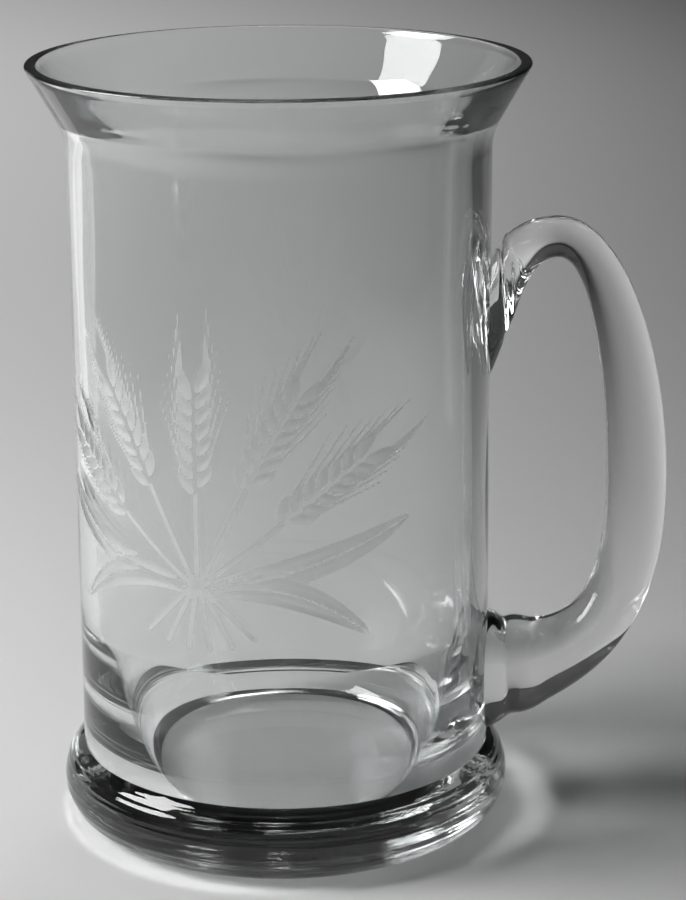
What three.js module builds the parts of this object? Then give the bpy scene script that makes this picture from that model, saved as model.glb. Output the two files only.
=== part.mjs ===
// A hand-made glass tankard: a blown bowl with a flared rim, seated in a cast foot, with a drawn handle.
// The three pieces of glass are sealed to each other hot. The origin is the centre of the flat base, the
// bowl's axis is Z, and the handle stands out along +X.

import * as THREE from 'three';

// Bowl, in millimetres
const HEIGHT = 156; // whole tankard, from the base to the rim
const BODY_DIAMETER = 84; // outside of the straight wall
const WALL = 3.6; // thickness of the straight wall
const FLOOR = 3.5; // glass of the bowl under its inside floor
const FLOOR_DIAMETER = 56; // flat part of the inside floor
const FLOOR_HOLD = 6.5; // how far the inside corner holds the floor's direction
const CORNER_HEIGHT = 36; // from the inside floor up to where the wall has its even thickness
const CORNER_HOLD = 1; // how far the inside corner holds the wall's direction
const RIM_OVERHANG = 7.6; // how far the rim stands out from the wall
const RIM_WIDTH = 2.4; // thickness of the glass at the rim
const RIM_ROUND = 0.5; // rounding of the rim's two edges
const FLARE_HEIGHT = 14; // from the bend of the flare to the rim
const FLARE_BEND = 12; // outside radius of that bend

// Foot
const FOOT_HEIGHT = 15.8; // from the base to the crease where the foot's edge meets the wall
const FOOT_FLOOR = 3; // glass of the foot under the bowl
const FOOT_OVERHANG = 4.1; // how far the foot's round edge stands out from the wall
const FOOT_EDGE_HEIGHT = 7.7; // height of the widest line of that edge
const FOOT_EDGE_DEPTH = 9; // from the widest line in to the middle of the upper round
const BASE_INSET = 7.5; // from the widest line in to the ground flat of the base
const SEAT_GAP = 0.3; // clearance around the bowl in its seat

// Handle, seen from the side
const FINGER_ROOM = 24.1; // from the wall to the inside of the upright arm
const ARM_THICKNESS = 12.4; // upright arm, measured away from the wall
const ARM_WIDTH = 9.5; // upright arm, measured across
const ARM_STATION = 68; // height at which the arm is upright
const ARCH_DROP = 31.7; // from the rim down to the top of the arch
const ARCH_OFFSET = 13.4; // from the wall out to the top of the arch
const ARCH_THICKNESS = 8.1;
const ARCH_WIDTH = 8.5;
const LOWER_SEAL_RISE = 0.5; // from the crease of the foot to the lower seal
const LOWER_SEAL_HEIGHT = 25;
const LOWER_SEAL_WIDTH = 20;
const UPPER_SEAL_DROP = 41; // from the rim down to the upper seal
const UPPER_SEAL_HEIGHT = 23; // with the tail drawn down the wall
const UPPER_SEAL_WIDTH = 14;
const TAIL_POINT = 0.35; // how much the tail narrows: 0 is an oval seal, 1 a sharp point
const SECTION_SQUARENESS = 2.5; // 2 makes the handle's sections ovals, more flattens their sides
const SEAL_GAP = 0.3; // clearance between the handle's seals and the wall

// The course of the handle's two outlines: the direction of each at its stations, in degrees from +X
// towards +Z, and the millimetres for which it holds that direction after and before the station
const OUTER_COURSE = {
  lowerSeal: { heading: 25, after: 22 },
  arm: { heading: 90, before: 35, after: 27 },
  arch: { heading: 180, before: 13.7, after: 6.8 },
  upperSeal: { heading: 247, before: 6.5 },
};
const INNER_COURSE = {
  lowerSeal: { heading: -25, after: 16.5 },
  arm: { heading: 90, before: 27, after: 24 },
  arch: { heading: 180, before: 6.5, after: 6.5 },
  upperSeal: { heading: 247, before: 15.2 },
};

// Facets
const ROUND_STEPS = 72; // around the bowl and the foot
const CURVE_STEPS = 8; // along each arc of their profiles
const CORNER_STEPS = 16; // along the bowl's inside corner
const SECTION_STEPS = 20; // around the handle
const SPAN_STEPS = 14; // along the handle from one station to the next
const SEAL_RINGS = 3; // across each sealed face

const bodyRadius = BODY_DIAMETER / 2;
const insideRadius = bodyRadius - WALL;
const rimRadius = bodyRadius + RIM_OVERHANG;
const footRadius = bodyRadius + FOOT_OVERHANG;
const seatRadius = bodyRadius + SEAT_GAP;
const floorHeight = FOOT_FLOOR + FLOOR;
const sealRadius = bodyRadius + SEAL_GAP;

const clearGlass = new THREE.MeshStandardMaterial({
  color: '#dde2e1', roughness: 0.05, metalness: 0, transparent: true, opacity: 0.35,
});

/** Points of an elliptical arc in the profile's plane, from one angle to another, in radians. */
function arc(centreR, centreZ, radiusR, radiusZ, from, to) {
  const points = [];
  for (let step = 0; step <= CURVE_STEPS; step += 1) {
    const angle = from + (to - from) * (step / CURVE_STEPS);
    points.push(new THREE.Vector2(centreR + radiusR * Math.cos(angle), centreZ + radiusZ * Math.sin(angle)));
  }
  return points;
}

/** A solid of revolution about Z, from (radius, height) points that start and end on the axis. */
function turned(profile) {
  return new THREE.LatheGeometry(profile, ROUND_STEPS).rotateX(Math.PI / 2);
}

/** The bowl: straight wall, rounded inside corner, and a flare that thins to the ground rim. */
function bowlGeometry() {
  const bendHeight = HEIGHT - FLARE_HEIGHT;
  const flareAngle = Math.atan2(RIM_OVERHANG, FLARE_HEIGHT);
  const bendCentreR = bodyRadius + FLARE_BEND;
  const bendCentreZ = bendHeight - FLARE_BEND * Math.tan(flareAngle / 2);
  const bend = (radius) => arc(bendCentreR, bendCentreZ, radius, radius, Math.PI, Math.PI - flareAngle);
  const edge = (centreR, from, to) => arc(centreR, HEIGHT - RIM_ROUND, RIM_ROUND, RIM_ROUND, from, to);
  const floorRadius = FLOOR_DIAMETER / 2;
  const cornerTop = floorHeight + CORNER_HEIGHT;
  const corner = new THREE.CubicBezierCurve(
    new THREE.Vector2(insideRadius, cornerTop),
    new THREE.Vector2(insideRadius, cornerTop - CORNER_HOLD),
    new THREE.Vector2(floorRadius + FLOOR_HOLD, floorHeight),
    new THREE.Vector2(floorRadius, floorHeight),
  );
  return turned([
    new THREE.Vector2(0, FOOT_FLOOR),
    new THREE.Vector2(bodyRadius, FOOT_FLOOR),
    ...bend(FLARE_BEND),
    ...edge(rimRadius - RIM_ROUND, 0, Math.PI / 2),
    ...edge(rimRadius - RIM_WIDTH + RIM_ROUND, Math.PI / 2, Math.PI),
    ...bend(FLARE_BEND + WALL).reverse(),
    ...corner.getPoints(CORNER_STEPS),
    new THREE.Vector2(0, floorHeight),
  ]);
}

/** The foot: a solid disc with a round edge, a seat above for the bowl, and ground flat below. */
function footGeometry() {
  const baseRadius = footRadius - BASE_INSET;
  const upperCentre = footRadius - FOOT_EDGE_DEPTH;
  const creaseAngle = Math.acos((seatRadius - upperCentre) / FOOT_EDGE_DEPTH);
  const upperHeight = (FOOT_HEIGHT - FOOT_EDGE_HEIGHT) / Math.sin(creaseAngle);
  const lower = arc(baseRadius, FOOT_EDGE_HEIGHT, BASE_INSET, FOOT_EDGE_HEIGHT, -Math.PI / 2, 0);
  const upper = arc(upperCentre, FOOT_EDGE_HEIGHT, FOOT_EDGE_DEPTH, upperHeight, 0, creaseAngle);
  return turned([
    new THREE.Vector2(0, 0),
    ...lower,
    ...upper.slice(1),
    new THREE.Vector2(seatRadius, FOOT_FLOOR),
    new THREE.Vector2(0, FOOT_FLOOR),
  ]);
}

/** One outline of the handle: cubic curves through its stations, in the XZ plane. */
function outline(stations) {
  const reach = ({ x, z, heading }, length) => {
    const angle = THREE.MathUtils.degToRad(heading);
    return new THREE.Vector3(x + length * Math.cos(angle), 0, z + length * Math.sin(angle));
  };
  return stations.slice(1).map((next, index) => {
    const last = stations[index];
    const leave = reach(last, last.after);
    const arrive = reach(next, -next.before);
    return new THREE.CubicBezierCurve3(reach(last, 0), leave, arrive, reach(next, 0));
  });
}

/** Presses a point onto the round of the wall by a share from 0, left where it is, to 1, fully seated. */
function pressed(point, share) {
  const hollow = sealRadius - Math.sqrt(sealRadius ** 2 - point.y ** 2);
  return point.setX(point.x - hollow * share);
}

/** The handle's sections from the lower seal to the upper: ovals strung between its two outlines. */
function handleRings() {
  const lowerZ = FOOT_HEIGHT + LOWER_SEAL_RISE;
  const upperZ = HEIGHT - UPPER_SEAL_DROP;
  const archX = bodyRadius + ARCH_OFFSET;
  const archZ = HEIGHT - ARCH_DROP;
  const armX = bodyRadius + FINGER_ROOM;
  const outer = outline([
    { x: sealRadius, z: lowerZ, ...OUTER_COURSE.lowerSeal },
    { x: armX + ARM_THICKNESS, z: ARM_STATION, ...OUTER_COURSE.arm },
    { x: archX, z: archZ, ...OUTER_COURSE.arch },
    { x: sealRadius, z: upperZ, ...OUTER_COURSE.upperSeal },
  ]);
  const inner = outline([
    { x: sealRadius, z: lowerZ + LOWER_SEAL_HEIGHT, ...INNER_COURSE.lowerSeal },
    { x: armX, z: ARM_STATION, ...INNER_COURSE.arm },
    { x: archX, z: archZ - ARCH_THICKNESS, ...INNER_COURSE.arch },
    { x: sealRadius, z: upperZ - UPPER_SEAL_HEIGHT, ...INNER_COURSE.upperSeal },
  ]);
  const widths = [LOWER_SEAL_WIDTH, ARM_WIDTH, ARCH_WIDTH, UPPER_SEAL_WIDTH];
  const last = outer.length * SPAN_STEPS;
  return Array.from({ length: last + 1 }, (_, step) => {
    const span = Math.min(Math.floor(step / SPAN_STEPS), outer.length - 1);
    const along = step / SPAN_STEPS - span;
    const ease = THREE.MathUtils.smoothstep(along, 0, 1);
    const halfWidth = THREE.MathUtils.lerp(widths[span], widths[span + 1], ease) / 2;
    const inside = inner[span].getPoint(along);
    const centre = outer[span].getPoint(along).add(inside).multiplyScalar(0.5);
    const half = inside.clone().sub(centre);
    const fromEnd = Math.min(step, last - step) / SPAN_STEPS;
    const seating = Math.max(0, 1 - fromEnd) ** 2;
    const point = span === outer.length - 1 ? TAIL_POINT * ease : 0;
    return { centre, half, halfWidth, seating, point };
  });
}

/** A sine or cosine raised so that an oval drawn with it has flatter sides. */
function squared(value) {
  return Math.sign(value) * Math.abs(value) ** (2 / SECTION_SQUARENESS);
}

/** The points around one section, shrunk about its centre by a share for the rings across a sealed face. */
function ringPoints({ centre, half, halfWidth, seating, point }, share = 1) {
  return Array.from({ length: SECTION_STEPS }, (_, step) => {
    const angle = (2 * Math.PI * step) / SECTION_STEPS;
    const along = squared(Math.cos(angle));
    const across = halfWidth * squared(Math.sin(angle)) * (1 - point * along);
    const place = centre.clone().addScaledVector(half, share * along);
    return pressed(place.setY(share * across), seating);
  });
}

/** A closed skin over rings of equal count, ended at each end by a single middle point. */
function skinned(firstPoint, rings, lastPoint) {
  const count = SECTION_STEPS;
  const points = [firstPoint, ...rings.flat(), lastPoint];
  const index = [];
  for (let side = 0; side < count; side += 1) {
    const next = (side + 1) % count;
    index.push(0, 1 + side, 1 + next);
    for (let ring = 0; ring < rings.length - 1; ring += 1) {
      const here = 1 + ring * count;
      const beyond = here + count;
      index.push(here + side, beyond + next, here + next);
      index.push(here + side, beyond + side, beyond + next);
    }
    const end = 1 + (rings.length - 1) * count;
    index.push(end + next, end + side, points.length - 1);
  }
  const geometry = new THREE.BufferGeometry().setFromPoints(points);
  geometry.setIndex(index);
  return geometry;
}

/** The handle: its sections, closed at both ends by faces that follow the wall. */
function handleGeometry() {
  const sections = handleRings();
  const shares = Array.from({ length: SEAL_RINGS - 1 }, (_, ring) => (ring + 1) / SEAL_RINGS);
  const lower = sections[0];
  const upper = sections[sections.length - 1];
  const rings = [
    ...shares.map((share) => ringPoints(lower, share)),
    ...sections.map((section) => ringPoints(section)),
    ...shares.reverse().map((share) => ringPoints(upper, share)),
  ];
  return skinned(lower.centre, rings, upper.centre);
}

/** Adds one named piece of glass to the tankard. */
function addPiece(group, name, geometry) {
  const piece = new THREE.Mesh(geometry, clearGlass.clone());
  piece.name = name;
  group.add(piece);
}

const tankard = new THREE.Group();
addPiece(tankard, 'bowl', bowlGeometry());
addPiece(tankard, 'foot', footGeometry());
addPiece(tankard, 'handle', handleGeometry());

export default tankard;
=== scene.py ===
import bpy
import numpy as np
from mathutils import Matrix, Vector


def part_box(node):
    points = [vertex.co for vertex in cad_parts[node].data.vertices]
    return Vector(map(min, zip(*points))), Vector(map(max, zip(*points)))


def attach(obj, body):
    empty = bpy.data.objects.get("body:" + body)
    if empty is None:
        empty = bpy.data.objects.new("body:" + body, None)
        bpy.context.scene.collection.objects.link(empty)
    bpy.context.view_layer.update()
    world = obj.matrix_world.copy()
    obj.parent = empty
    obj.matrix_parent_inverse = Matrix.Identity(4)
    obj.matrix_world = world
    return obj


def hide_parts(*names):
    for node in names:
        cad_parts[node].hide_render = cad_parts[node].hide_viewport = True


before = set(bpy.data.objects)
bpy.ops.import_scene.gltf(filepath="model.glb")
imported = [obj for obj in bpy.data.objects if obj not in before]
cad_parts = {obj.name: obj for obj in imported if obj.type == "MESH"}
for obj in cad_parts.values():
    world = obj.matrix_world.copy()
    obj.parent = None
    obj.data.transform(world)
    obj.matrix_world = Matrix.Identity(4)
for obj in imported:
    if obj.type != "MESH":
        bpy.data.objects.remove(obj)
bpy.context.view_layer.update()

MM = 0.001

# Sizes read from the frame, in millimetres
BOWL_HIGH = np.array(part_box("bowl")[1]) / MM
FOOT_HIGH = np.array(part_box("foot")[1]) / MM
HEIGHT = BOWL_HIGH[2]
RIM_RADIUS = BOWL_HIGH[1]
FOOT_HEIGHT = FOOT_HIGH[2]
FOOT_RADIUS = FOOT_HIGH[1]

# Bowl, in millimetres. The seat is the height at which it rests in the foot, and the gap there keeps
# the two meshes from sharing a face
BODY_RADIUS = 42.0
WALL = 3.6
SEAT = 3.0
SEAT_GAP = 0.03
FLOOR = 3.5
FLOOR_RADIUS = 28.0
FLOOR_PULL = 6.5
CORNER_HEIGHT = 36.0
CORNER_PULL = 1.0
RIM_WIDTH = 2.4
RIM_ROUND = 0.5
FLARE_HEIGHT = 14.0
FLARE_BEND = 12.0

# Waves of the blown inside: depth in millimetres, turns a round, drift in radians per millimetre,
# start in radians. They ease in above the thick bottom and out below the rim
BLOW_WAVES = [(0.05, 2, 0.03, 1.0), (0.03, 5, -0.05, 0.0), (0.02, 9, 0.12, 2.0)]
FLARE_WAVE = (0.06, 7, 0.5, 0.0)
FLARE_WAVE_EASE = 6.0
WAVE_LOW = 45.0
WAVE_LOW_EASE = 30.0
WAVE_RIM_GAP = 1.0
WAVE_RIM_EASE = 3.0

# Foot
FOOT_EDGE_HEIGHT = 7.7
FOOT_EDGE_DEPTH = 9.0
BASE_INSET = 7.5
BASE_MIDDLE = 5.0

# Rings left round the foot by the shaping tool: depth and pitch in millimetres, drift in radians and turns
# a round. They ease in above the base and out below the crease
RINGS = [(0.030, 3.1, 0.9, 1), (0.022, 1.9, 0.7, 2), (0.012, 1.1, 0.8, 3)]
RING_LOW = 0.2
RING_LOW_EASE = 2.5
RING_CREASE_EASE = 1.5

# Handle: stations of its outer and inner outline seen from the side. Each has a place (x, z), a heading in
# degrees from +X towards +Z, and the lengths for which the outline holds it before and after the station
OUTER_STATIONS = [
    dict(x=42.0, z=16.3, heading=25, before=0.0, after=22.0),
    dict(x=78.5, z=68.0, heading=90, before=35.0, after=27.0),
    dict(x=55.4, z=124.3, heading=180, before=13.7, after=6.8),
    dict(x=42.0, z=115.0, heading=247, before=6.5, after=0.0),
]
INNER_STATIONS = [
    dict(x=42.0, z=41.3, heading=-25, before=0.0, after=16.5),
    dict(x=66.1, z=68.0, heading=90, before=27.0, after=24.0),
    dict(x=55.4, z=116.2, heading=180, before=6.5, after=6.5),
    dict(x=42.0, z=92.0, heading=247, before=15.2, after=0.0),
]
STATION_WIDTHS = [20.0, 9.5, 8.5, 14.0]
TAIL_POINT = 0.35
TAIL_LEAST = 0.3
SECTION_POWER = 2.5

# Waists and swellings left by the tongs: place along the handle and reach, both in spans, and share
# of the girth. They fade out at the seals
TONG_MARKS = [(0.085, 0.03, -0.065), (0.17, 0.045, 0.03), (2.80, 0.03, -0.08), (2.66, 0.05, 0.04)]
TONG_FADE = 0.03

# The handle's two seals on the wall: which station, and how far the seal narrows to a tail
SEALS = [(0, 0.0), (-1, TAIL_POINT)]

# Grid of the bowl's surface, in millimetres along the outside, and the half width of its part by the handle
FINE_STEP = 0.5
SEAL_STEP = 0.9
COARSE_STEP = 2.4
SEAT_STEP = 2.0
TOP_STEP = 1.6
SEAL_HALF = 14.0

# Points of each stretch of the bowl's profile
OUTER_BEND_STEPS = 14
INNER_BEND_STEPS = 16
EDGE_STEPS = 6
OUTER_FLARE_STEPS = 8
INNER_FLARE_STEPS = 10
INSIDE_STEPS = 24
CORNER_STEPS = 48
FLOOR_STEPS = 6
FLOOR_MIDDLE = FLOOR_RADIUS / 8

# Points of each stretch of the foot's profile, and round it
BASE_STEPS = 6
LOWER_STEPS = 72
UPPER_STEPS = 64
DISH_STEPS = 4
FOOT_COLUMNS = 256

# Points along each span of the handle and round it, and rings across each of its sealed ends
HANDLE_SPAN_STEPS = 80
HANDLE_SIDES = 96
SEAL_RINGS = 8

# Edges of a mesh that bend by more than this many degrees stay crisp
CRISP_ANGLE = 50

# How the wall's grid meets a seal's edge: share of a step within which a point moves onto the edge,
# clear height above the foot's crease, depth in millimetres that still counts as the outside, and the
# small step over which a slope is measured
SNAP_SHARE = 0.55
CREASE_GAP = 0.2
OUTSIDE_DEPTH = 0.4
SLOPE_STEP = 1e-3
TINY = 1e-9

# Engraved field on the outside of the bowl: its middle in degrees from +X, its half width and its heights
FIELD_MIDDLE = -113.5
FIELD_HALF = 50.0
FIELD_LOW = 45.0
FIELD_HIGH = 121.0

# Engraved sheaf of barley, in millimetres and degrees on the unrolled wall. The ears lean from upright
TIE_HEIGHT = 60.0
TIE_ENDS = ((-3.6, 0), (3.6, 0.4))
TIE_HALF = 1.5
EAR_LEANS = [-52, -27, 0, 26, 50]
STALKS = [21.0, 22.0, 19.0, 23.0, 22.0]
EAR_CURL = 1.1
GRAIN_PAIRS = 7
GRAIN_PITCH = 3.1
GRAIN_LENGTH = 6.2
GRAIN_HALF = 1.25
GRAIN_TURN = 24
GRAIN_GAP = 0.3
GRAIN_SIDE = 0.45
GRAIN_STAGGER = 0.5
GRAIN_SWELL = 0.9
AWN_LENGTH = 14.0
AWN_SHRINK = 0.04
AWN_SPREAD = 19
AWN_CLOSE = 2.6
LINE_HALF = 0.36
LINE_TIP = 0.35
STALK_HALF = LINE_HALF * 1.4
STROKE_STEPS = 14
LENS_POWER = 0.7
STRAW_GATHER = 6
STRAW_ROUND = 0.02
STRAW_ENDS = [-11.0, -6.5, -2.0, 2.5, 7.0, 11.5]
STRAW_LENGTH = 12.0
LEAVES = [((-1, 1), (-22, 1), (-45, 17)), ((1, 1), (20, 3), (44, 14)),
          ((-1, -1), (-15, 7), (-33, -9)), ((1, -1), (17, 6), (35, -10))]
LEAF_HALF = 2.9
GRAIN_DEPTH = 0.28
LINE_DEPTH = 0.12
LINE_EASE = 0.4
STROKE_MARGIN = 2.0
FAR = 10.0

# Soda glass: how it bends light, the colour it leaves and how strongly it takes light per metre of path
GLASS_IOR = 1.52
GLASS_TINT = "#E8E9E9"
GLASS_DENSITY = 35.0

# Ground glass: soft edge of a cut and size of the grit in millimetres, the grit's detail, range and least
# tooth, its roughness, and the share of light that still passes
CUT_EDGE = 0.12
GRIT_SIZE = 1.1
GRIT_DETAIL = 3.0
GRIT_RANGE = (0.3, 0.7)
TOOTH_LEAST = 0.8
MATT_ROUGHNESS = 0.42
MATT_PASSES = 0.8

# Paper floor, in metres: half its width and its height, just under the foot
FLOOR_HALF = 6.0
FLOOR_HEIGHT = -0.0002

# Lamps: place, aimed point and size in metres, power in watts and spread in degrees. The softbox stands at
# the left, the second lamp lights the background, and the card is seen only in the glass
SOFTBOX = dict(place=(-0.39, -0.052, 0.365), aim=(0.81, 0.179, 0.365),
               size=(0.23, 0.38), power=4.1, spread=180)
BACKGROUND = dict(place=(-0.01, 0.624, 1.6), aim=(-1.5, 1.15, 0),
                  size=(0.4, 0.4), power=15.5, spread=110)
CARD = dict(place=(-0.163, 0.2, 0.11), aim=(-0.038, 0.015, 0.11),
            size=(0.06, 0.22), power=0.0166, spread=180)

# Light of the room: strength at the horizon and overhead, the rises between which it falls, the depths
# between which it comes on behind the tankard, and its share at the far left and the far right
ROOM_LOW = 0.05
ROOM_TOP = 0.005
ROOM_RISE = (0.05, 0.75)
ROOM_BEHIND = (-0.2, 0.4)
ROOM_LEFT = 1.7
ROOM_RIGHT = 0.3

# Camera at the photograph's viewing angle, in millimetres and degrees, for a frame of 686 x 900 pixels
CAMERA_DISTANCE = 544.1
CAMERA_HEIGHT = 237.7
CAMERA_YAW = 1.291
CAMERA_PITCH = 16.522
CAMERA_ROLL = -0.265
FOCAL_PIXELS = 2787.9
FRAME_PIXELS = 900
SENSOR = 36.0
CLIP_START = 0.01

# How often light may cross the thick glass
BOUNCES = 128
GLOSSY_BOUNCES = 96
SEAL_BOUNCES = 32


def smooth_step(t):
    """Eases from 0 to 1 over the range of t from 0 to 1: three t squared less two t cubed."""
    t = np.clip(t, 0, 1)
    return t * t * (3 - 2 * t)


def linear(hex_colour):
    """Turns an sRGB hex value into a linear RGBA colour."""
    parts = [int(hex_colour[i:i + 2], 16) / 255 for i in (1, 3, 5)]
    return [p / 12.92 if p <= 0.04045 else ((p + 0.055) / 1.055) ** 2.4 for p in parts] + [1.0]


def add_node(tree, kind, links=(), **settings):
    """Adds a shader node. Settings are its properties, links are (input, source socket or value) pairs."""
    node = tree.nodes.new(kind)
    for name, value in settings.items():
        setattr(node, name, value)
    for name, source in links:
        if isinstance(source, bpy.types.NodeSocket):
            tree.links.new(source, node.inputs[name])
        else:
            node.inputs[name].default_value = source
    return node


def new_material(name):
    """A material with an empty node tree."""
    material = bpy.data.materials.new(name)
    material.use_nodes = True
    material.node_tree.nodes.clear()
    return material, material.node_tree


def glass_output(tree, shader):
    """Sends a glass shader to the material's output.

    Faces inside a hot seal, where glass meets glass, let light pass without bending. The glass itself takes
    a little of the light on the way through, so long paths such as the rim and the foot look darker.
    """
    seal = add_node(tree, "ShaderNodeAttribute", attribute_name="seal")
    fused = add_node(tree, "ShaderNodeBsdfTransparent")
    surface = add_node(tree, "ShaderNodeMixShader", [
        (0, seal.outputs["Fac"]), (1, shader.outputs[0]), (2, fused.outputs[0])])
    depth = add_node(tree, "ShaderNodeVolumeAbsorption", [
        ("Color", linear(GLASS_TINT)), ("Density", GLASS_DENSITY)])
    add_node(tree, "ShaderNodeOutputMaterial", [
        ("Surface", surface.outputs[0]), ("Volume", depth.outputs[0])])


def clear_glass():
    """Soda glass, cast or drawn and fire polished."""
    # The fire leaves no tool texture, so the eye sees only bent light, sharp highlights and dark edges
    material, tree = new_material("clear_soda_glass")
    shader = add_node(tree, "ShaderNodeBsdfPrincipled", [
        ("Base Color", linear("#FFFFFF")), ("Roughness", 0.0),
        ("IOR", GLASS_IOR), ("Transmission Weight", 1.0)])
    glass_output(tree, shader)
    return material


def engraved_glass():
    """Blown soda glass, fire polished, with a field ground matt by an engraver's wheel."""
    # Clear glass as above, and where the wheel cut it a pale, soft grey that scatters what lies behind
    material, tree = new_material("blown_soda_glass")

    def mask(attribute):
        """1 inside the shapes whose distance the attribute holds, 0 outside, with a soft edge."""
        distance = add_node(tree, "ShaderNodeAttribute", attribute_name=attribute)
        return add_node(tree, "ShaderNodeMapRange", [
            ("Value", distance.outputs["Fac"]), ("From Min", CUT_EDGE), ("From Max", -CUT_EDGE)],
            interpolation_type="SMOOTHSTEP").outputs[0]

    frost, cut = mask("frost"), mask("cut")
    place = add_node(tree, "ShaderNodeTexCoord").outputs["Object"]
    # The wheel's grit is far finer, and is drawn this coarse so that it shows
    grit = add_node(tree, "ShaderNodeTexNoise", [
        ("Vector", place), ("Scale", 1 / (GRIT_SIZE * MM)), ("Detail", GRIT_DETAIL)])
    tooth = add_node(tree, "ShaderNodeMapRange", [
        ("Value", grit.outputs[0]), ("From Min", GRIT_RANGE[0]), ("From Max", GRIT_RANGE[1]),
        ("To Min", TOOTH_LEAST), ("To Max", 1.0)])
    ground = add_node(tree, "ShaderNodeMath", [(0, frost), (1, tooth.outputs[0])], operation="MULTIPLY")
    matt = add_node(tree, "ShaderNodeMath", [(0, ground.outputs[0]), (1, cut)], operation="MAXIMUM")
    rough = add_node(tree, "ShaderNodeMath", [
        (0, matt.outputs[0]), (1, MATT_ROUGHNESS)], operation="MULTIPLY")
    passes = add_node(tree, "ShaderNodeMapRange", [
        ("Value", matt.outputs[0]), ("To Min", 1.0), ("To Max", MATT_PASSES)])
    shader = add_node(tree, "ShaderNodeBsdfPrincipled", [
        ("Base Color", linear("#FBFCFC")), ("Roughness", rough.outputs[0]),
        ("IOR", GLASS_IOR), ("Transmission Weight", passes.outputs[0])])
    glass_output(tree, shader)
    return material


def arc(centre, radii, start, stop, steps):
    """Points of an elliptical arc: centre plus radii times the cosine and sine of an even run of angles."""
    angle = np.linspace(start, stop, steps)
    return np.column_stack([centre[0] + radii[0] * np.cos(angle), centre[1] + radii[1] * np.sin(angle)])


def line(start, stop, steps):
    """Evenly spaced points of a straight line, both ends included."""
    t = np.linspace(0, 1, steps)[:, None]
    return np.array(start) * (1 - t) + np.array(stop) * t


def cubic(a, b, c, d, steps):
    """Points of a cubic curve from a to d that leaves towards b and arrives from c."""
    t = np.linspace(0, 1, steps)[:, None]
    a, b, c, d = (np.array(point, float) for point in (a, b, c, d))
    return (1 - t) ** 3 * a + 3 * (1 - t) ** 2 * t * b + 3 * (1 - t) * t * t * c + t ** 3 * d


def grid_faces(rows, columns):
    """Quads of a grid of rows by columns whose columns close on themselves."""
    row, column = np.meshgrid(np.arange(rows - 1), np.arange(columns), indexing="ij")
    after = (column + 1) % columns
    quads = np.stack([row * columns + column, row * columns + after,
                      (row + 1) * columns + after, (row + 1) * columns + column], -1)
    return quads.reshape(-1, 4)


def capped_mesh(name, points, first_pole, last_pole, material):
    """A closed mesh from a grid of points, rows by columns, with a fan to a single point at each end.

    Gives the object and the row of each face: -1 for the first fan, the row count less 1 for the last.
    """
    rows, columns = points.shape[:2]
    verts = np.concatenate([points.reshape(-1, 3), [first_pole], [last_pole]]) * MM
    quads = grid_faces(rows, columns)
    side = np.arange(columns)
    after = (side + 1) % columns
    first, last = rows * columns, rows * columns + 1
    low = np.stack([np.full(columns, first), after, side], -1)
    end = (rows - 1) * columns
    high = np.stack([np.full(columns, last), end + side, end + after], -1)
    mesh = bpy.data.meshes.new(name)
    mesh.from_pydata(verts.tolist(), [], quads.tolist() + low.tolist() + high.tolist())
    mesh.materials.append(material)
    face_row = np.concatenate([np.repeat(np.arange(rows - 1), columns),
                               np.full(columns, -1), np.full(columns, rows - 1)])
    mesh.polygons.foreach_set("use_smooth", np.ones(len(face_row), dtype=bool))
    mesh.set_sharp_from_angle(angle=np.radians(CRISP_ANGLE))
    piece = bpy.data.objects.new(name, mesh)
    bpy.context.scene.collection.objects.link(piece)
    return piece, face_row


def mark_seal(piece, hidden):
    """Marks the faces that lie inside a hot seal, for the glass to read."""
    attribute = piece.data.attributes.new("seal", "FLOAT", "FACE")
    attribute.data.foreach_set("value", hidden.astype(np.float32))


def revolve(profile, angles):
    """Carries a profile of (radius, height) points about Z: x and y are radius times cosine and sine."""
    radius, height = profile[:, 0][:, None], profile[:, 1][:, None]
    return np.stack([radius * np.cos(angles), radius * np.sin(angles), height + 0 * angles], -1)


def stepped(stops, steps):
    """Values from the first stop to the last, in equal parts near the given step within each stretch."""
    parts = [np.linspace(a, b, max(2, int(np.ceil(abs(b - a) / step)) + 1))[:-1]
             for a, b, step in zip(stops[:-1], stops[1:], steps)]
    return np.concatenate(parts + [[stops[-1]]])


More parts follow.
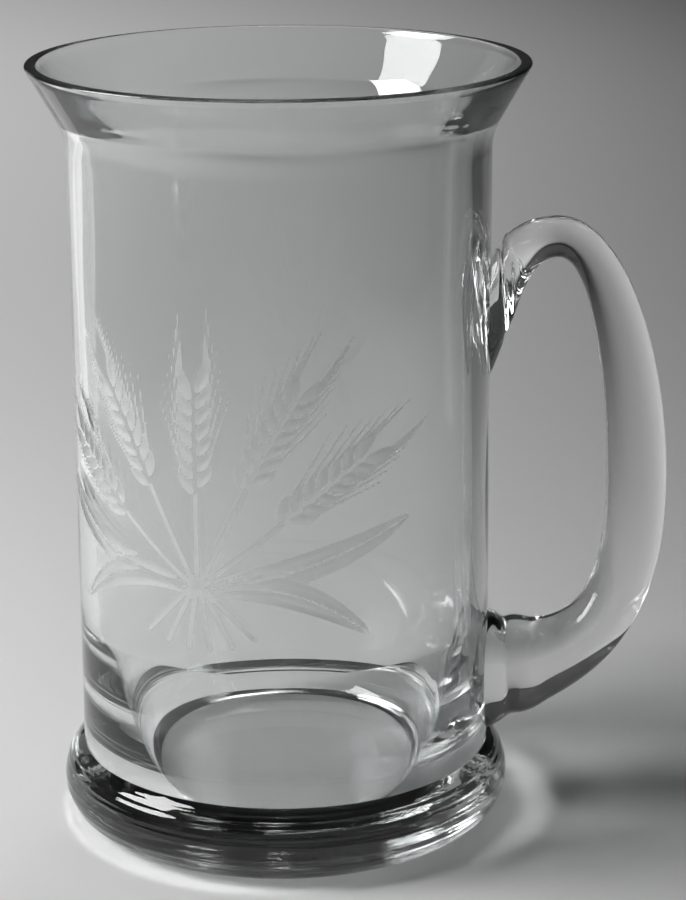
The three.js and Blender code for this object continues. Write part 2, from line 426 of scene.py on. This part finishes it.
def bowl_profile():
    """Outside of the bowl from the seat in the foot to the rim, over it, and down the inside to the floor.

    Gives the points, how many of them lie in the foot, and how many lie on the straight outside.
    """
    flare_angle = np.arctan2(RIM_RADIUS - BODY_RADIUS, FLARE_HEIGHT)
    centre = (BODY_RADIUS + FLARE_BEND, HEIGHT - FLARE_HEIGHT - FLARE_BEND * np.tan(flare_angle / 2))
    outer_bend = arc(centre, (FLARE_BEND, FLARE_BEND), np.pi, np.pi - flare_angle, OUTER_BEND_STEPS)
    inner = FLARE_BEND + WALL
    inner_bend = arc(centre, (inner, inner), np.pi - flare_angle, np.pi, INNER_BEND_STEPS)
    round_r = (RIM_ROUND, RIM_ROUND)
    edge_z = HEIGHT - RIM_ROUND
    outer_edge = arc((RIM_RADIUS - RIM_ROUND, edge_z), round_r, 0, np.pi / 2, EDGE_STEPS)
    inner_edge = arc((RIM_RADIUS - RIM_WIDTH + RIM_ROUND, edge_z), round_r, np.pi / 2, np.pi, EDGE_STEPS)
    inside = BODY_RADIUS - WALL
    floor = SEAT + FLOOR
    corner = cubic((inside, floor + CORNER_HEIGHT), (inside, floor + CORNER_HEIGHT - CORNER_PULL),
                   (FLOOR_RADIUS + FLOOR_PULL, floor), (FLOOR_RADIUS, floor), CORNER_STEPS)
    in_foot = stepped([SEAT, FOOT_HEIGHT], [SEAT_STEP])
    above = stepped([FOOT_HEIGHT, FIELD_LOW, FIELD_HIGH, outer_bend[0, 1]],
                    [SEAL_STEP, FINE_STEP, TOP_STEP])
    wall_z = np.concatenate([in_foot[:-1], above])
    points = np.concatenate([
        np.column_stack([np.full(len(wall_z), BODY_RADIUS), wall_z]),
        outer_bend[1:],
        line(outer_bend[-1], outer_edge[0], OUTER_FLARE_STEPS)[1:-1],
        outer_edge, inner_edge,
        line(inner_edge[-1], inner_bend[0], INNER_FLARE_STEPS)[1:-1],
        inner_bend,
        line(inner_bend[-1], corner[0], INSIDE_STEPS)[1:-1],
        corner,
        line((FLOOR_RADIUS, floor), (FLOOR_MIDDLE, floor), FLOOR_STEPS)[1:],
    ])
    return points, len(in_foot) - 1, len(wall_z)


def bowl_angles():
    """Angles of the bowl's columns: close in the engraved field and by the handle, wide elsewhere."""
    half = np.degrees(FIELD_HALF / BODY_RADIUS)
    seal = np.degrees(SEAL_HALF / BODY_RADIUS)
    stops = [-seal, seal, 360 + FIELD_MIDDLE - half, 360 + FIELD_MIDDLE + half, 360 - seal]
    steps = np.degrees(np.array([SEAL_STEP, COARSE_STEP, FINE_STEP, COARSE_STEP]) / BODY_RADIUS)
    return np.radians(stepped(stops, steps)[:-1])


def foot_profile():
    """The foot from the middle of its base, round the edge, up to the crease and down into its dish.

    Two quarters of ovals make the edge, one below its widest height and one above, cut off at the crease.
    Gives the points and how many of them lie on the outside.
    """
    lower = arc((FOOT_RADIUS - BASE_INSET, FOOT_EDGE_HEIGHT), (BASE_INSET, FOOT_EDGE_HEIGHT),
                -np.pi / 2, 0, LOWER_STEPS)
    top = np.arccos((BODY_RADIUS - FOOT_RADIUS + FOOT_EDGE_DEPTH) / FOOT_EDGE_DEPTH)
    rise = (FOOT_HEIGHT - FOOT_EDGE_HEIGHT) / np.sin(top)
    upper = arc((FOOT_RADIUS - FOOT_EDGE_DEPTH, FOOT_EDGE_HEIGHT), (FOOT_EDGE_DEPTH, rise),
                0, top, UPPER_STEPS)
    outside = np.concatenate([line((BASE_MIDDLE, 0), lower[0], BASE_STEPS)[:-1], lower, upper[1:]])
    dish = line(upper[-1], (BODY_RADIUS + SEAT_GAP, SEAT - SEAT_GAP), DISH_STEPS)
    return np.concatenate([outside, dish[1:]]), len(outside)


def outline(stations, steps):
    """Cubic curves through stations: each leaves one along its heading and meets the next along its own."""
    t = np.linspace(0, 1, steps, endpoint=False)[:, None]
    spans = []
    for here, there in zip(stations[:-1], stations[1:]):
        a = np.array([here["x"], here["z"]])
        d = np.array([there["x"], there["z"]])
        go, come = np.radians(here["heading"]), np.radians(there["heading"])
        b = a + here["after"] * np.array([np.cos(go), np.sin(go)])
        c = d - there["before"] * np.array([np.cos(come), np.sin(come)])
        spans.append((1 - t) ** 3 * a + 3 * (1 - t) ** 2 * t * b + 3 * (1 - t) * t * t * c + t ** 3 * d)
    return np.concatenate(spans + [[[stations[-1]["x"], stations[-1]["z"]]]])


def squared(values):
    """Powers of a cosine or sine that turn an oval into one with flatter sides."""
    return np.sign(values) * np.abs(values) ** (2 / SECTION_POWER)


def tong_marks(u):
    """Girth of the handle against its plain one: 1 plus a bell curve for each mark, none at the seals."""
    girth = np.ones_like(u)
    for place, reach, share in TONG_MARKS:
        girth += share * np.exp(-((u - place) / reach) ** 2)
    ends = smooth_step(np.minimum(u, u[-1] - u) / TONG_FADE)
    return 1 + (girth - 1) * ends


def handle_points():
    """Flat-sided ovals strung between the handle's two outlines.

    Half the gap between the outlines, times a flattened cosine, is the way along the side view, and half
    the width, times a flattened sine, is the way across. Towards each end they bend onto the round of the
    wall, and rings that shrink to the middle close the ends. Gives the points and the two middles.
    """
    outer, inner = outline(OUTER_STATIONS, HANDLE_SPAN_STEPS), outline(INNER_STATIONS, HANDLE_SPAN_STEPS)
    spans = len(STATION_WIDTHS) - 1
    u = np.linspace(0, spans, spans * HANDLE_SPAN_STEPS + 1)
    span = np.minimum(u.astype(int), spans - 1)
    ease = smooth_step(u - span)
    widths = np.array(STATION_WIDTHS)
    girth = tong_marks(u)
    half_width = girth * (widths[span] * (1 - ease) + widths[span + 1] * ease) / 2
    point = np.where(span == spans - 1, TAIL_POINT * ease, 0)
    seating = np.clip(1 - np.minimum(u, spans - u), 0, 1) ** 2
    shrink = np.arange(1, SEAL_RINGS) / SEAL_RINGS
    first = np.zeros(len(shrink), int)
    pick = np.concatenate([first, np.arange(len(u)), first + len(u) - 1])
    share = np.concatenate([shrink, np.ones_like(u), shrink[::-1]])[:, None]
    angle = np.linspace(0, -2 * np.pi, HANDLE_SIDES, endpoint=False)
    along, across = squared(np.cos(angle)), squared(np.sin(angle))
    centre, half = ((outer + inner) / 2)[pick], ((inner - outer) / 2 * girth[:, None])[pick]
    y = share * half_width[pick][:, None] * across * (1 - point[pick][:, None] * along)
    x = centre[:, :1] + share * half[:, :1] * along
    z = centre[:, 1:] + share * half[:, 1:] * along
    x = x - seating[pick][:, None] * (BODY_RADIUS - np.sqrt(BODY_RADIUS ** 2 - y ** 2))
    ends = [(centre[0, 0], 0, centre[0, 1]), (centre[-1, 0], 0, centre[-1, 1])]
    return np.stack([x, y, z], -1), ends


def footprint(end, point, y, z):
    """How far (y, z) lies outside the edge of one of the handle's seals: 0 on the edge, -1 in the middle.

    It is the length of the two shares of the seal's half sizes, taken with the section's power, less 1.
    """
    low, high = OUTER_STATIONS[end]["z"], INNER_STATIONS[end]["z"]
    along = (z - (low + high) / 2) / ((high - low) / 2)
    across = y / (STATION_WIDTHS[end] / 2 * np.maximum(1 - point * along, TAIL_LEAST))
    return (np.abs(along) ** SECTION_POWER + np.abs(across) ** SECTION_POWER) ** (1 / SECTION_POWER) - 1


def snap_to_seals(points, wall_rows):
    """Moves the wall's points that lie next to a handle seal's edge onto it, along the steepest slope."""
    wall = points[:wall_rows]
    for end, point in SEALS:
        y, z = wall[..., 1], wall[..., 2]
        value = footprint(end, point, y, z)
        slope_y = (footprint(end, point, y + SLOPE_STEP, z) - value) / SLOPE_STEP
        slope_z = (footprint(end, point, y, z + SLOPE_STEP) - value) / SLOPE_STEP
        steep = np.hypot(slope_y, slope_z) + TINY
        near = np.abs(value / steep) < SNAP_SHARE * SEAL_STEP
        near &= (wall[..., 0] > 0) & (z > FOOT_HEIGHT + CREASE_GAP)
        move = np.where(near, value / steep ** 2, 0)
        y, z = y - move * slope_y, z - move * slope_z
        wall[..., 0] = np.where(near, np.sqrt(BODY_RADIUS ** 2 - y ** 2), wall[..., 0])
        wall[..., 1], wall[..., 2] = y, z


def under_handle(piece):
    """Which faces of the bowl lie under the handle's seals, by their middles."""
    count = len(piece.data.polygons)
    middle = np.empty(count * 3)
    piece.data.polygons.foreach_get("center", middle)
    x, y, z = middle.reshape(-1, 3).T / MM
    on_wall = (x > 0) & (np.hypot(x, y) > BODY_RADIUS - OUTSIDE_DEPTH)
    return on_wall & np.any([footprint(end, point, y, z) < 0 for end, point in SEALS], axis=0)


def curve(start, bend, stop):
    """Points of a quadratic curve from start to stop that is pulled towards bend."""
    t = np.linspace(0, 1, STROKE_STEPS)[:, None]
    return (1 - t) ** 2 * np.array(start) + 2 * (1 - t) * t * np.array(bend) + t * t * np.array(stop)


def lens(half):
    """Half widths of a leaf or grain: none at both ends, most in the middle, as a power of a sine."""
    return half * np.sin(np.pi * np.linspace(0, 1, STROKE_STEPS)) ** LENS_POWER


def taper(half, steps):
    """Half widths of a line that thins to a third of its width."""
    return half * np.linspace(1, LINE_TIP, steps)


def lean_way(degrees):
    """Direction that leans from upright, to the right when positive."""
    return np.array([np.sin(np.radians(degrees)), np.cos(np.radians(degrees))])


def ear_strokes(lean, stalk):
    """An ear of barley: pairs of grains along a stem that curls outwards, each with a long awn."""
    place = lean_way(lean) * stalk
    grains, lines = [], [(line((0, 0), place, 2), np.full(2, STALK_HALF))]
    for pair in range(GRAIN_PAIRS):
        heading = lean + np.sign(lean) * EAR_CURL * pair
        ahead, aside = lean_way(heading), lean_way(heading + 90)
        for side in (-1, 1):
            root = place + side * GRAIN_SIDE * aside + (side > 0) * GRAIN_STAGGER * GRAIN_PITCH * ahead
            tip = root + GRAIN_LENGTH * lean_way(heading + side * (GRAIN_TURN - pair))
            swell = (root + tip) / 2 + side * GRAIN_SWELL * aside
            grains.append((curve(root, swell, tip), lens(GRAIN_HALF)))
            awn = AWN_LENGTH * (1 - AWN_SHRINK * pair)
            end = tip + awn * lean_way(heading + side * (AWN_SPREAD - AWN_CLOSE * pair))
            lines.append((line(tip, end, 2), taper(LINE_HALF, 2)))
        place = place + GRAIN_PITCH * ahead
    return grains, lines


def sheaf_strokes():
    """The whole sheaf as (path, half widths) strokes: frosted shapes, cut lines, and ribs left clear."""
    frosted = [(line(TIE_ENDS[0], TIE_ENDS[1], 2), np.full(2, TIE_HALF))]
    lines, ribs = [], []
    for lean, stalk in zip(EAR_LEANS, STALKS):
        grains, awns = ear_strokes(lean, stalk)
        frosted += grains
        lines += awns
    for end in STRAW_ENDS:
        drop = -STRAW_LENGTH + STRAW_ROUND * end * end
        lines.append((line((end / STRAW_GATHER, 0), (end, drop), 2), np.full(2, STALK_HALF)))
    for start, bend, stop in LEAVES:
        frosted.append((curve(start, bend, stop), lens(LEAF_HALF)))
        ribs.append((curve(start, bend, stop), taper(LINE_HALF, STROKE_STEPS)))
    return frosted, lines, ribs


def stroke_distance(at, strokes, halo=-FAR):
    """Signed distance to the nearest stroke: to the nearest point of its path, less the half width there.

    With a halo, each stroke lies on the ones before it with a clear margin of that width.
    """
    nearest = np.full(len(at), FAR)
    for path, half in strokes:
        margin = half.max() + STROKE_MARGIN
        inside = (at > path.min(axis=0) - margin) & (at < path.max(axis=0) + margin)
        close = np.flatnonzero(np.all(inside, axis=1))
        step = path[1:] - path[:-1]
        off = at[close][:, None] - path[:-1]
        share = np.clip((off * step).sum(-1) / (step * step).sum(-1), 0, 1)
        gap = np.linalg.norm(off - share[..., None] * step, axis=-1)
        gap -= half[:-1] * (1 - share) + half[1:] * share
        gap = gap.min(axis=1)
        nearest[close] = np.minimum(np.maximum(nearest[close], halo - gap), gap)
    return nearest


def engrave(points, wall_rows):
    """Presses the sheaf into the outside of the wall and gives the distances to its shapes and cut lines.

    The depth eases in from the edge of a shape, over 1 mm in a grain or leaf and over less in a line.
    """
    wall = points[:wall_rows]
    turn = np.arctan2(wall[..., 1], wall[..., 0]) - np.radians(FIELD_MIDDLE)
    u = BODY_RADIUS * (np.mod(turn + np.pi, 2 * np.pi) - np.pi)
    z = wall[..., 2]
    field = (np.abs(u) < FIELD_HALF) & (z > FIELD_LOW) & (z < FIELD_HIGH)
    at = np.column_stack([u[field], z[field] - TIE_HEIGHT])
    frosted, lines, ribs = sheaf_strokes()
    frost, cut = (np.full(points.shape[:2], FAR) for _ in range(2))
    shapes, clear = stroke_distance(at, frosted, GRAIN_GAP), stroke_distance(at, ribs)
    frost[:wall_rows][field] = np.maximum(shapes, -clear)
    cut[:wall_rows][field] = stroke_distance(at, lines)
    depth = GRAIN_DEPTH * smooth_step(-frost[:wall_rows])
    depth += LINE_DEPTH * smooth_step(-cut[:wall_rows] / LINE_EASE)
    wall[..., :2] *= (1 - depth / BODY_RADIUS)[..., None]
    return frost, cut


def blow_waves(points, first_row):
    """Slow waves of the blown inside, which push it in and out along its radius.

    Each is a depth times the sine of so many turns a round plus a drift with height. One more wave comes
    on in the flare. All fade out in the thick bottom and at the rim.
    """
    inside = points[first_row:]
    x, y, z = np.moveaxis(inside, -1, 0)
    angle = np.arctan2(y, x)

    def wave(depth, turns, drift, start):
        return depth * np.sin(turns * angle + drift * z + start)

    in_flare = smooth_step((z - HEIGHT + FLARE_HEIGHT) / FLARE_WAVE_EASE)
    push = sum(wave(*each) for each in BLOW_WAVES) + in_flare * wave(*FLARE_WAVE)
    hold = smooth_step((z - WAVE_LOW) / WAVE_LOW_EASE)
    hold *= smooth_step((HEIGHT - WAVE_RIM_GAP - z) / WAVE_RIM_EASE)
    inside[..., :2] *= (1 + hold * push / np.hypot(x, y))[..., None]


def store(piece, name, values):
    """Stores a value per grid point on the piece's mesh, for its glass to read. The two poles get FAR."""
    attribute = piece.data.attributes.new(name, "FLOAT", "POINT")
    attribute.data.foreach_set("value", np.concatenate([values.ravel(), [FAR, FAR]]))


def dress(piece, node):
    """The piece stands for a CAD node, which it hides, and moves with the object."""
    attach(piece, "root")
    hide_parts(node)


def make_bowl():
    """The blown bowl."""
    profile, foot_rows, wall_rows = bowl_profile()
    points = revolve(profile, bowl_angles())
    snap_to_seals(points, wall_rows)
    frost, cut = engrave(points, wall_rows)
    blow_waves(points, np.argmax(profile[:, 1]) + EDGE_STEPS)
    middles = [(0, 0, SEAT), (0, 0, SEAT + FLOOR)]
    bowl, face_row = capped_mesh("bowl_clear", points, middles[0], middles[1], engraved_glass())
    store(bowl, "frost", frost)
    store(bowl, "cut", cut)
    mark_seal(bowl, (face_row < foot_rows) | under_handle(bowl))
    dress(bowl, "bowl")


def tool_rings(points, profile, rows):
    """Rings that the shaping tool left round the foot: three sines along the profile, which drift round it.

    They press the surface in and out along its normal, and fade out at the base and at the crease.
    """
    step = np.gradient(profile, axis=0)
    length = np.hypot(step[:, 0], step[:, 1])
    along = np.cumsum(length)[:, None]
    angle = np.arctan2(points[0, :, 1], points[0, :, 0])
    ring = np.zeros((len(profile), len(angle)))
    for depth, pitch, drift, turns in RINGS:
        ring += depth * np.sin(2 * np.pi * along / pitch + drift * np.sin(turns * angle + pitch))
    height = profile[:, 1]
    hold = smooth_step((height - RING_LOW) / RING_LOW_EASE)
    hold *= smooth_step((FOOT_HEIGHT - height) / RING_CREASE_EASE)
    hold[rows:] = 0
    ring *= hold[:, None]
    out = ring * (step[:, 1] / length)[:, None]
    points[..., 0] += out * np.cos(angle)
    points[..., 1] += out * np.sin(angle)
    points[..., 2] -= ring * (step[:, 0] / length)[:, None]


def make_foot(glass):
    """The cast foot."""
    profile, outside_rows = foot_profile()
    angles = np.linspace(0, 2 * np.pi, FOOT_COLUMNS, endpoint=False)
    points = revolve(profile, angles)
    tool_rings(points, profile, outside_rows)
    foot, face_row = capped_mesh("foot_clear", points, (0, 0, 0), (0, 0, SEAT - SEAT_GAP), glass)
    mark_seal(foot, face_row >= outside_rows - 1)
    dress(foot, "foot")


def make_handle(glass):
    """The drawn handle."""
    points, ends = handle_points()
    handle, face_row = capped_mesh("handle_clear", points, ends[0], ends[1], glass)
    mark_seal(handle, (face_row < SEAL_RINGS - 1) | (face_row >= len(points) - SEAL_RINGS))
    dress(handle, "handle")


def make_floor():
    """A wide, plain pale floor."""
    # Uncoated paper: matt, pale grey, with no highlight of its own
    material, tree = new_material("pale_paper")
    shader = add_node(tree, "ShaderNodeBsdfPrincipled", [
        ("Base Color", linear("#D8D8D8")), ("Roughness", 0.9), ("Specular IOR Level", 0.1)])
    add_node(tree, "ShaderNodeOutputMaterial", [("Surface", shader.outputs[0])])
    corners = [(-FLOOR_HALF, -FLOOR_HALF), (FLOOR_HALF, -FLOOR_HALF),
               (FLOOR_HALF, FLOOR_HALF), (-FLOOR_HALF, FLOOR_HALF)]
    mesh = bpy.data.meshes.new("floor")
    mesh.from_pydata([(x, y, FLOOR_HEIGHT) for x, y in corners], [], [(0, 1, 2, 3)])
    mesh.materials.append(material)
    floor = bpy.data.objects.new("floor", mesh)
    bpy.context.scene.collection.objects.link(floor)


def add_lamp(name, place, aim, size, power, spread):
    """A rectangular lamp at a place in metres, turned to face a point, with its spread in degrees."""
    light = bpy.data.lights.new(name, "AREA")
    light.shape = "RECTANGLE"
    light.size, light.size_y = size
    light.energy = power
    light.spread = np.radians(spread)
    lamp = bpy.data.objects.new(name, light)
    lamp.visible_camera = False
    back = np.array(place, float) - np.array(aim, float)
    back /= np.linalg.norm(back)
    side = np.cross((0, 0, 1), back)
    side /= np.linalg.norm(side)
    rows = np.column_stack([side, np.cross(back, side), back])
    lamp.matrix_world = Matrix.Translation(place) @ Matrix(rows.tolist()).to_4x4()
    bpy.context.scene.collection.objects.link(lamp)
    return lamp


def make_light():
    """Lamps, and a dim room that is lightest low down behind the tankard and at its left."""
    add_lamp("softbox_left", **SOFTBOX)
    add_lamp("background_left", **BACKGROUND)
    add_lamp("card_left", **CARD).visible_diffuse = False
    world = bpy.data.worlds.new("studio")
    bpy.context.scene.world = world
    world.use_nodes = True
    tree = world.node_tree
    way = add_node(tree, "ShaderNodeSeparateXYZ", [
        ("Vector", add_node(tree, "ShaderNodeTexCoord").outputs["Generated"])])
    rise = add_node(tree, "ShaderNodeMapRange", [
        ("Value", way.outputs["Z"]), ("From Min", ROOM_RISE[0]), ("From Max", ROOM_RISE[1]),
        ("To Min", ROOM_LOW), ("To Max", ROOM_TOP)], interpolation_type="SMOOTHSTEP")
    behind = add_node(tree, "ShaderNodeMapRange", [
        ("Value", way.outputs["Y"]), ("From Min", ROOM_BEHIND[0]), ("From Max", ROOM_BEHIND[1]),
        ("To Min", 0.0), ("To Max", 1.0)], interpolation_type="SMOOTHSTEP")
    left = add_node(tree, "ShaderNodeMapRange", [
        ("Value", way.outputs["X"]), ("From Min", -1.0), ("From Max", 1.0),
        ("To Min", ROOM_LEFT), ("To Max", ROOM_RIGHT)])
    low_behind = add_node(tree, "ShaderNodeMath", [
        (0, rise.outputs[0]), (1, behind.outputs[0])], operation="MULTIPLY")
    level = add_node(tree, "ShaderNodeMath", [
        (0, low_behind.outputs[0]), (1, left.outputs[0])], operation="MULTIPLY")
    tree.links.new(level.outputs[0], tree.nodes["Background"].inputs["Strength"])
    tree.nodes["Background"].inputs["Color"].default_value = linear("#FFFFFF")


def make_camera():
    """A pinhole camera in front of the tankard, turned by yaw, then pitch, then roll."""
    yaw, pitch, roll = np.radians([CAMERA_YAW, CAMERA_PITCH, CAMERA_ROLL])
    forward = np.array([np.sin(yaw) * np.cos(pitch), np.cos(yaw) * np.cos(pitch), -np.sin(pitch)])
    right = np.array([np.cos(yaw), -np.sin(yaw), 0])
    up = np.cross(right, forward)
    across = np.cos(roll) * right + np.sin(roll) * up
    upright = -np.sin(roll) * right + np.cos(roll) * up
    data = bpy.data.cameras.new("camera")
    data.sensor_fit = "VERTICAL"
    data.sensor_height = SENSOR
    data.lens = SENSOR * FOCAL_PIXELS / FRAME_PIXELS
    data.clip_start = CLIP_START
    camera = bpy.data.objects.new("camera", data)
    turn = Matrix(np.column_stack([across, upright, -forward]).tolist()).to_4x4()
    camera.matrix_world = Matrix.Translation((0, -CAMERA_DISTANCE * MM, CAMERA_HEIGHT * MM)) @ turn
    bpy.context.scene.collection.objects.link(camera)
    bpy.context.scene.camera = camera


def set_render():
    """Plain colours, and enough bounces for light to cross the thick glass."""
    scene = bpy.context.scene
    scene.view_settings.view_transform = "Standard"
    cycles = scene.cycles
    cycles.max_bounces = BOUNCES
    cycles.transmission_bounces = BOUNCES
    cycles.glossy_bounces = GLOSSY_BOUNCES
    cycles.transparent_max_bounces = SEAL_BOUNCES
    cycles.caustics_reflective = True
    cycles.caustics_refractive = True
    cycles.use_denoising = True
    cycles.sample_clamp_indirect = 0.0
    cycles.blur_glossy = 0.0


make_camera()
clear = clear_glass()
make_bowl()
make_foot(clear)
make_handle(clear)
make_floor()
make_light()
set_render()
